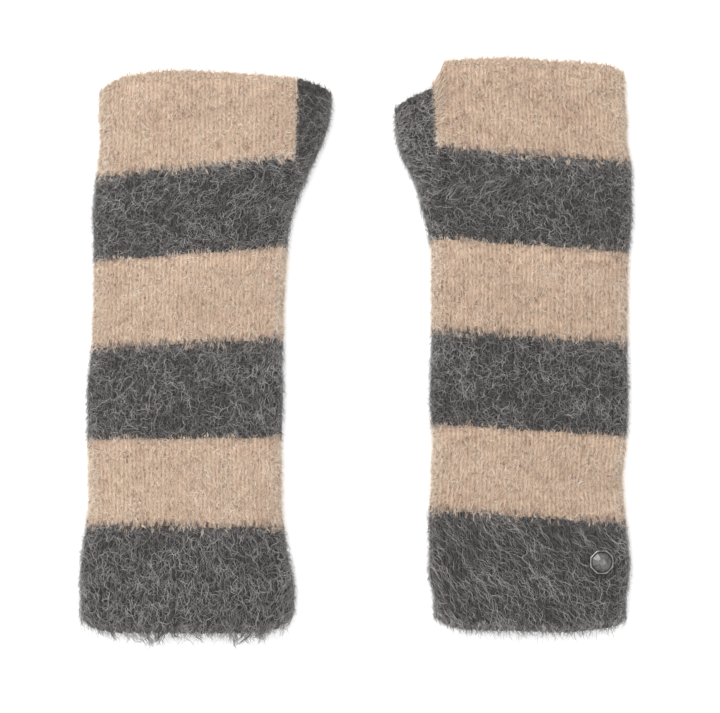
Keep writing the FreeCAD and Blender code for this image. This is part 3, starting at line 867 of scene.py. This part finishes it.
def add_fibre_tubes(sheaf, point, normal, radius, along, band):
    """Fibres are tubes too, laid out with their tone across and their length down."""
    start = len(sheaf.uvs)
    add_tubes(sheaf, point, normal, radius, FIBRE_SIDES, False, along, band)
    for i in range(start, len(sheaf.uvs)):
        sheaf.uvs[i] = sheaf.uvs[i][:, ::-1]


# ---------------------------------------------------------------- edges and seams

# Ropes: radius of the core, radius of the strand wound round it, and how far out that strand runs
CAST_ROPE = (0.75, 0.68, 1.0)
CAST_INSET = 0.1          # courses from the open end to the middle of its rope
THUMB_ROPE, THUMB_PITCH = (0.35, 0.42, 0.95), 3.4
OVERLOCK_ROPE, OVERLOCK_PITCH = (0.6, 0.35, 0.85), 2.6


def add_rope(sheaf, path, normal, down, rope, turns, closed):
    """A core strand with another wound round it, one turn for each stitch."""
    core, wrap, reach_out = rope
    k = len(path)
    angle = 2 * math.pi * turns
    path = lifted(path, core)
    outward = np.cos(angle)[:, None] * normal + np.sin(angle)[:, None] * down
    wound = lifted(path + reach_out * outward, wrap)
    along = (np.arange(k + 1) / k)[None]
    for line, up, radius, strip in ((path, normal, core, (0.0, 0.45)), (wound, outward, wrap, (0.5, 0.95))):
        add_tubes(sheaf, line[None], up[None], np.full((1, k), radius), YARN_SIDES, closed, along,
                  np.array([strip]))


def edge_rope(name, surface, course, start, end, material):
    """Cast-off or cast-on edge round an open end."""
    sheaf = Sheaf()
    count = int((end - start) * STITCH_POINTS)
    wale = np.linspace(start, end, count, endpoint=not surface.closed)
    point, normal = surface.at(wale, np.full(count, course))
    below, _ = surface.at(wale, np.full(count, course + 1.0))
    add_rope(sheaf, point, normal, unit(below - point), CAST_ROPE, wale, surface.closed)
    return sheaf.build(name, material)


# ---------------------------------------------------------------- one glove

def place(obj, side, band):
    """The wrist stripe keeps its place with its transform baked in; every other stripe rides on one body."""
    if band == WRIST_BAND:
        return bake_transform(obj)
    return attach(obj, "%s_%s" % (side, BODY_OF_BAND[band]))


WRIST_MARGIN = 2          # the wrist line ends this far short of the stripe's border


def wrist_line(outline):
    """From the wrist crease up to the stripe's upper border, square to the crease, in metres."""
    joint = joint_named(outline.side + "_wrist_flex")
    pos = Vector(joint["pos_m"])
    square = Vector((0, 0, 1)).cross(Vector(joint["axis"]))
    x = pos[0] / MM
    height = (outline.borders[1](x) - outline.borders[2](x)) * MM
    return tuple(pos), tuple(pos + square * (height - WRIST_MARGIN * MM))


SEEDS = {"left": 11, "right": 23}


def make_glove(side):
    """All the pieces of one glove but the badge. Every draw from rng shapes the ones after it."""
    outline = Outline(side)
    wrist_line(outline)
    rng = np.random.default_rng(SEEDS[side])
    surface = hand_surface(outline, rng)
    thumb = thumb_surface(outline, rng)
    wales = WALES[side]
    for index, band in enumerate(BANDS):
        light = band in LIGHT_BANDS
        dye = "beige" if light else "coal"
        first, last = int(BAND_KNOTS[index]), int(BAND_KNOTS[index + 1])
        node = "%s_%s" % (side, band)
        felt = felt_tube(node + "_felt", surface, first, last, 0, wales, MATERIALS[dye + "_felt"])
        yarn = knit_band(node + "_knit", surface, rng, first, last, wales, yarn_for(dye, wales, last - first))
        sheaf = Sheaf()
        for pile, rows in piles_of(side, index, first, last):
            add_pile(sheaf, surface, rng, pile, (0, wales), rows, outline.towards,
                     keep_off=badge_place(side, index))
        if not light:
            add_teeth(sheaf, surface, rng, wales, first, outline.towards)
        for pile, columns in fold_piles(light, wales):
            add_pile(sheaf, surface, rng, pile, columns, (first, last), outline.towards)
        for pile, rows in edge_piles(side, index):
            add_pile(sheaf, surface, rng, pile, (0, wales), rows, outline.towards, thin_below=1.0)
        fuzz = sheaf.build(node + "_fibres", MATERIALS[dye + "_fibre"])
        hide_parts("%s_%s" % (side, band))
        for piece in (felt, yarn, fuzz):
            place(piece, side, index)
    make_thumb(outline, thumb, rng)
    make_edges(outline, surface, thumb)
    make_seams(outline)


BADGE_CLEARANCE = 7.0     # no fibre is rooted this near the badge's middle


def badge_place(side, index):
    """Middle of the badge and the clearance round it, on the stripe that carries it."""
    if side == "right" and index == CUFF_BAND:
        low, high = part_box("right_badge_front")
        centre = (low + high) / 2 / MM
        return centre[0], centre[1], BADGE_CLEARANCE
    return None


def piles_of(side, index, first, last):
    """Fibres of each stripe, with the courses they are rooted between.

    A short dense layer and longer loose fibres end clear of the lower border; shorter ones finish it.
    """
    if BANDS[index] in LIGHT_BANDS:
        heading, tone = (82, 0.50) if side == "left" else (97, 0.42)
        dense = Pile(6040, (1.7, 4.0), 0.15, heading, 38, 34, (2.5, 5.0), (0.0, 0.45), (tone, 0.22), 4)
        loose = Pile(1200, (3.5, 8.0), 0.09, heading, 38, 36, (3.0, 6.0), (0.3, 1.5), (0.70, 0.16), 6)
        speck = Pile(520, (0.9, 1.4), 0.22, 90, 40, 0, (3.0, 5.0), (0.7, 0.9), (-0.05, 0.04), 3)
        border = Pile(700, (1.3, 2.3), 0.16, 0, 40, 20, (2.5, 5.0), (-0.1, 0.35), (tone, 0.22), 3)
        over = Pile(560, (1.4, 2.8), 0.12, 90, 20, 18, (3.0, 5.0), (0.25, 0.8), (tone + 0.1, 0.22), 4,
                    4, 0.5)
        piles = [(dense, (first + 1.0, last - 1.3)), (loose, (first + 1.8, last - 2.2)),
                 (speck, (first + 0.5, last - 0.8)), (border, (first + 0.2, first + 1.1)),
                 (border, (last - 1.4, last - 0.2)), (over, (last - 0.9, last + 0.1))]
        if index > 0:
            back = over._replace(count=480, length=(1.2, 2.3), heading=-90)
            piles.append((back, (first, first + 0.8)))
        return piles
    across = Pile(450, (2.0, 5.0), 0.11, 10, 40, 30, (3.0, 6.0), (0.0, 0.7), (0.50, 0.24), 5)
    if index == CUFF_BAND:
        heading, spread, tone = (86, 26, 0.56) if side == "left" else (52, 20, 0.42)
        dense = Pile(3830, (3.0, 6.5), 0.122, heading, spread + 14, 36, (3.0, 6.0), (0.0, 0.8),
                     (tone, 0.26), 5)
        loose = Pile(1300, (6.0, 13.0), 0.09, heading, spread, 28, (5.0, 9.0), (0.6, 2.6), (0.72, 0.2), 7)
        return [(dense, (first, last)), (loose, (first, last)), (across, (first, first + 1.5))]
    tone = 0.40 if side == "left" else 0.35
    dense = Pile(4400, (2.4, 5.2), 0.118, 80, 66, 42, (3.0, 6.0), (0.0, 0.6), (tone, 0.28), 5)
    loose = Pile(1250, (4.5, 10.0), 0.09, 65, 60, 36, (4.0, 8.0), (0.3, 1.8), (0.73, 0.2), 8)
    border = Pile(700, (1.2, 2.8), 0.12, 90, 32, 20, (2.5, 5.0), (0.0, 0.6), (0.42, 0.24), 4)
    return [(dense, (first, last - 1.0)), (loose, (first, last - 2.4)), (border, (last - 1.3, last - 0.2)),
            (across, (first, first + 1.5)), (across, (last - 2.4, last - 0.3))]


TEETH_PER_WALE = 4
TOOTH_SPREAD = 0.2        # half the width of a tooth's roots, in wales


def add_teeth(sheaf, surface, rng, wales, row, towards):
    """Charcoal fibres reaching into the light stripe above: a dark point at each wale, paler between."""
    tooth = Pile(TEETH_PER_WALE, (1.8, 3.4), 0.20, -90, 10, 14, (3.0, 5.0), (0.3, 0.9), (0.17, 0.10), 4,
                 TEETH_PER_WALE, 0.5, 0.7)
    for wale in range(wales):
        middle = wale + 0.5
        add_pile(sheaf, surface, rng, tooth, (middle - TOOTH_SPREAD, middle + TOOTH_SPREAD),
                 (row + 0.1, row + 0.6), towards, thin_below=1.0, backwards=0.0)
    between = Pile(900, (1.3, 3.0), 0.10, -90, 30, 22, (3.0, 5.0), (0.3, 0.9), (0.42, 0.24), 4)
    add_pile(sheaf, surface, rng, between, (0, wales), (row + 0.2, row + 1.4), towards, backwards=0.0)


HALO_REACH = 1.3          # wales on each side of a fold that its halo is rooted in


def fold_piles(light, wales):
    """Pale halo standing off the two side folds: the pile and the wales it is rooted between. Its tone, paler
    than the rest of the stripe, is painted light, the glow along the folds.
    """
    # The pale tones here are painted light along the folds
    count, tone, points = (750, (0.78, 0.15), 4) if light else (480, (0.58, 0.25), 5)
    pile = Pile(count, (1.8, 4.2), 0.10, 90, 60, 40, (2.5, 5.0), (0.5, 2.2), tone, points)
    return [(pile, (middle - HALO_REACH, middle + HALO_REACH)) for middle in (0, wales / 2)]


def edge_piles(side, index):
    """Fibres standing past the open ends."""
    if index == 0:
        short = Pile(1650, (1.2, 3.0), 0.115, -90, 32, 25, (3.0, 5.0), (-0.3, 0.7), (0.52, 0.22), 4)
        return [(short, (-0.3, 1.0))]
    if index < CUFF_BAND:
        return []
    total = BAND_KNOTS[-1]
    if side == "left":
        tufts = Pile(720, (3.5, 8.5), 0.13, 90, 20, 32, (4.0, 7.0), (-0.4, 1.2), (0.40, 0.22), 6,
                     9, 0.9, 0.75, 0.35)
        short = Pile(900, (2.2, 4.8), 0.125, 90, 30, 34, (3.0, 6.0), (-0.4, 0.9), (0.48, 0.24), 5)
        return [(tufts, (total - 1.8, total - 0.3)), (short, (total - 1.4, total))]
    short = Pile(1900, (1.8, 4.2), 0.105, 80, 30, 32, (3.0, 6.0), (-0.4, 0.9), (0.62, 0.24), 5,
                 3, 0.6, 0.4)
    return [(short, (total - 1.2, total))]


def make_thumb(outline, surface, rng):
    """Yarn, felt and fibres of the thumb tube."""
    side = outline.side
    courses = THUMB_COURSES[side]
    half = int(math.ceil(surface.half_round.max()))
    yarn = knit_thumb(side + "_thumb_knit", surface, rng, courses, yarn_for("coal", 2 * half, courses))
    felt = felt_tube(side + "_thumb_felt", surface, 0, courses, -half, half, MATERIALS["coal_felt"])
    sheaf = Sheaf()
    reach_round = (-half + 1, half - 1)
    tone, loose_count = (0.13, 220) if side == "left" else (0.46, 480)
    body = Pile(1500, (2.5, 5.0), 0.12, 75, 60, 42, (2.5, 5.0), (0.0, 0.5), (tone, 0.26), 6)
    loose = Pile(loose_count, (4.0, 9.0), 0.09, 65, 55, 40, (3.0, 6.0), (0.3, 1.6), (tone + 0.36, 0.2), 8)
    # halo: fibres at the thumb's fold, paler than the body as painted light along the fold
    halo = Pile(620, (1.8, 4.6), 0.09, 90, 60, 40, (2.5, 5.0), (0.5, 2.3), (0.62, 0.22), 5)
    tip = Pile(300, (1.4, 3.2), 0.10, -90, 34, 30, (3.0, 5.0), (-0.2, 0.8), (tone, 0.2), 4)
    down = (0.5, courses)
    for pile, columns, rows in ((body, reach_round, down), (loose, reach_round, down),
                                (halo, (-HALO_REACH, HALO_REACH), down), (tip, reach_round, (-0.1, 0.9))):
        add_pile(sheaf, surface, rng, pile, columns, rows, -outline.towards)
    fuzz = sheaf.build(side + "_thumb_fibres", MATERIALS["coal_fibre"])
    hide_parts(side + "_thumb_sleeve")
    for piece in (yarn, felt, fuzz):
        blend_thumb(piece)


def blend_thumb(obj):
    """The thumb piece keeps its place with its transform baked in."""
    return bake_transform(obj)


def line_rope(name, points, rope, pitch):
    """Rope of sewing stitches along a line of points, with one turn for each pitch."""
    sheaf = Sheaf()
    steps = np.linalg.norm(np.diff(points, axis=0), axis=1)
    run = np.concatenate([[0], np.cumsum(steps)])
    count = int(run[-1] / pitch * STITCH_POINTS)
    at = np.linspace(0, run[-1], count)
    path = np.stack([np.interp(at, run, points[:, i]) for i in range(3)], axis=-1)
    up = np.broadcast_to(np.array([0.0, 0.0, 1.0]), path.shape)
    across = unit(np.cross(np.gradient(path, axis=0), up))
    add_rope(sheaf, path, up, across, rope, at / pitch, False)
    return sheaf.build(name, MATERIALS["sewing_yarn"])


STITCHING_DEPTH = 1.1     # how far the thumb's stitching lies under the top of the fold
STITCHING_POINTS = 24
OVERLOCK_POINTS = 40
SEAM_MARGIN = 2           # how far the overlock stops short of its CAD piece's ends
SEAM_DEPTH = 2 * HALF_WALL + 1.3        # how far inside the near fold it runs


def make_seams(outline):
    """Sewing yarn along the thumb, and the side seam's allowance inside the near fold."""
    side = outline.side
    low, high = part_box(side + "_thumb_seam")
    y = np.linspace(low[1] / MM, high[1] / MM, STITCHING_POINTS)
    level = np.full_like(y, outline.fold_height - STITCHING_DEPTH)
    thread = line_rope(side + "_thumb_stitching", np.stack([outline.crease(y), y, level], axis=-1),
                       THUMB_ROPE, THUMB_PITCH)
    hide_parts(side + "_thumb_seam")
    blend_thumb(thread)
    for node in ("hand_seam", "forearm_seam"):
        low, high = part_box("%s_%s" % (side, node))
        y = np.linspace(high[1] / MM - SEAM_MARGIN, low[1] / MM + SEAM_MARGIN, OVERLOCK_POINTS)
        x = outline.hand_near(y) - outline.towards * SEAM_DEPTH
        points = np.stack([x, y, np.full_like(y, outline.fold_height / 2)], axis=-1)
        seam = line_rope("%s_%s_overlock" % (side, node), points, OVERLOCK_ROPE, OVERLOCK_PITCH)
        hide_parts("%s_%s" % (side, node))
        place(seam, side, WRIST_BAND)


def make_edges(outline, surface, thumb):
    """Cast-off and cast-on rows round the three open ends."""
    side, wales = outline.side, WALES[outline.side]
    plain_courses = BAND_COURSES[1]
    light, coal = yarn_for("beige", wales, plain_courses), yarn_for("coal", wales, plain_courses)
    mouth = edge_rope(side + "_finger_cast_off", surface, CAST_INSET, 0, wales, light)
    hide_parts(side + "_finger_edge")
    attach(mouth, side + "_hand")
    cuff = edge_rope(side + "_cuff_cast_on", surface, BAND_KNOTS[-1] - CAST_INSET, 0, wales, coal)
    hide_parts(side + "_cuff_edge")
    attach(cuff, side + "_forearm")
    half = thumb.half_round[OVERRUN]
    tip = edge_rope(side + "_thumb_cast_off", thumb, 0.0, -half, half, coal)
    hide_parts(side + "_thumb_edge")
    blend_thumb(tip)


# ---------------------------------------------------------------- camera, light and floor

FLOOR_SIZE = 4.0          # metres, as are the places of the lamps and the camera
LAMPS = [                 # name, place, energy, width
    ("key", (-0.75, 0.55, 1.3), 16.5, 1.2),
    ("fill", (1.2, -0.6, 2.4), 16.0, 2.0),
]


def make_stage():
    """White floor, even white surroundings and two soft lamps."""
    scene = bpy.context.scene
    scene.view_settings.view_transform = "Standard"
    mesh = bpy.data.meshes.new("floor")
    corners = [(-1, -1), (1, -1), (1, 1), (-1, 1)]
    mesh.from_pydata([(FLOOR_SIZE * x, FLOOR_SIZE * y, 0) for x, y in corners], [], [(0, 1, 2, 3)])
    floor = add_object("floor", mesh)
    material, _, shader = new_material("floor")
    set_inputs(shader, {"Base Color": (0.93, 0.93, 0.93, 1.0), "Roughness": 0.9, "Specular IOR Level": 0.1})
    mesh.materials.append(material)

    scene.world = bpy.data.worlds.new("world")
    scene.world.use_nodes = True
    set_inputs(scene.world.node_tree.nodes["Background"], {"Color": (1.0, 1.0, 1.0, 1.0), "Strength": 1.2})

    for name, place_at, energy, width in LAMPS:
        light = bpy.data.lights.new(name, "AREA")
        light.energy = energy
        light.size = width
        lamp = add_object(name, light)
        lamp.location = place_at
        lamp.rotation_mode = "QUATERNION"
        lamp.rotation_quaternion = (-Vector(place_at)).to_track_quat("-Z", "Y")


CAMERA_PLACE = (0.002, -0.00525, 2.0)
CAMERA_LENS = 200.0
SENSOR_WIDTH = 36.0


def make_camera():
    """Straight over the pair, as for a flat lay."""
    camera = bpy.data.cameras.new("camera")
    camera.lens = CAMERA_LENS
    camera.sensor_width = SENSOR_WIDTH
    bpy.context.scene.camera = add_object("camera", camera)
    bpy.context.scene.camera.location = CAMERA_PLACE


# ---------------------------------------------------------------- badge

def pewter_material(radius):
    """Dark cast pewter: cloudy tarnish, black patina in the groove, brighter edges that are partly wear and
    partly painted highlight, fine pits.
    """
    material, tree, shader = new_material("pewter")
    coordinates = tree.nodes.new("ShaderNodeTexCoord").outputs["Object"]
    cloud = noise_node(tree, coordinates, 420.0, 4.0)
    pits = noise_node(tree, coordinates, 2600.0, 3.0)
    tarnish = ramp_node(tree, cloud, [(0.35, (0.090, 0.087, 0.084)), (0.65, (0.170, 0.165, 0.160))])

    flat = tree.nodes.new("ShaderNodeVectorMath")
    flat.operation = "MULTIPLY"
    flat.inputs[1].default_value = (1 / radius, 1 / radius, 0.0)
    tree.links.new(coordinates, flat.inputs[0])
    outwards = tree.nodes.new("ShaderNodeVectorMath")
    outwards.operation = "LENGTH"
    tree.links.new(flat.outputs["Vector"], outwards.inputs[0])
    patina = ramp_node(tree, outwards.outputs["Value"],
                       [(0.40, 1.0), (0.72, 0.70), (0.79, 0.15), (0.84, 0.15), (0.88, 1.0)])
    body = mix_node(tree, "MULTIPLY", 1.0, tarnish, patina)

    geometry = tree.nodes.new("ShaderNodeNewGeometry")
    # Sharp edges and the point lightened: partly wear, partly painted highlight
    worn_edge_highlight = ramp_node(tree, geometry.outputs["Pointiness"], [(0.52, 0.0), (0.64, 1.0)])
    tree.links.new(mix_node(tree, "SCREEN", 0.42, body, worn_edge_highlight), shader.inputs["Base Color"])
    tree.links.new(ramp_node(tree, cloud, [(0.3, 0.22), (0.7, 0.34)]), shader.inputs["Roughness"])
    tree.links.new(bump_node(tree, pits, 0.00006, 0.5), shader.inputs["Normal"])
    set_inputs(shader, {"Metallic": 1.0})
    return material


def washer_material():
    """Thin rolled steel."""
    material, tree, shader = new_material("washer_steel")
    coordinates = tree.nodes.new("ShaderNodeTexCoord").outputs["Object"]
    grain = noise_node(tree, coordinates, 900.0, 4.0)
    steel = ramp_node(tree, grain, [(0.3, (0.42, 0.42, 0.43)), (0.7, (0.60, 0.60, 0.61))])
    tree.links.new(steel, shader.inputs["Base Color"])
    tree.links.new(bump_node(tree, grain, 0.00005), shader.inputs["Normal"])
    set_inputs(shader, {"Metallic": 1.0, "Roughness": 0.35})
    return material


BADGE_SIDES = 8
BADGE_HEIGHT = 2.4        # of the plate and crown, over the prongs
BADGE_PROFILE = [         # share of the radius, share of the height, for each ring of the stud
    (0.96, 0.00), (1.00, 0.10), (1.00, 0.34), (0.96, 0.42), (0.88, 0.42), (0.83, 0.32), (0.30, 0.92),
]


BADGE_BEVEL = 0.3
BADGE_BEVEL_ANGLE = 12    # edges sharper than this are rounded, in degrees


def make_badge():
    """Faceted stud: a raised rim, a groove, broad facets and a small blunt point."""
    low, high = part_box("right_badge_front")
    centre = (low + high) / 2
    radius = (high[0] - low[0]) / 2 / math.cos(math.pi / BADGE_SIDES)
    height = BADGE_HEIGHT * MM
    base = high[2] - height
    mesh = bpy.data.meshes.new("right_badge_stud")
    shape = bmesh.new()
    angles = [2 * math.pi * (i + 0.5) / BADGE_SIDES for i in range(BADGE_SIDES)]
    sides = [(i, (i + 1) % BADGE_SIDES) for i in range(BADGE_SIDES)]
    rings = [[shape.verts.new((radius * out * math.cos(angle), radius * out * math.sin(angle), height * rise))
              for angle in angles] for out, rise in BADGE_PROFILE]
    for inner, outer in zip(rings, rings[1:]):
        for i, j in sides:
            shape.faces.new((inner[i], inner[j], outer[j], outer[i]))
    shape.faces.new(rings[0][::-1])
    tip = shape.verts.new((0, 0, height))
    for i, j in sides:
        shape.faces.new((rings[-1][i], rings[-1][j], tip))
    shape.to_mesh(mesh)
    shape.free()
    stud = add_object("right_badge_stud", mesh)
    mesh.materials.append(pewter_material(radius))
    bevel = stud.modifiers.new("edges", "BEVEL")
    bevel.width = BADGE_BEVEL * MM
    bevel.segments = 3
    bevel.limit_method = "ANGLE"
    bevel.angle_limit = math.radians(BADGE_BEVEL_ANGLE)
    stud.location = (centre[0], centre[1], base)
    stud.rotation_euler = (0, badge_tilt(frame["nodes"]["right_badge_front"]), 0)
    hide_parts("right_badge_front")
    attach(stud, "right_forearm")
    washer = frame["nodes"]["right_badge_washer"]
    washer.data.materials.clear()
    washer.data.materials.append(washer_material())


def badge_tilt(node):
    """Turn about Y of the badge, from the largest upward face of its CAD piece."""
    best = max(node.data.polygons, key=lambda p: p.area if p.normal.z > 0.9 else 0.0)
    return math.atan2(best.normal.x, best.normal.z)


make_stage()
make_camera()
for glove_side in ("left", "right"):
    make_glove(glove_side)
make_badge()
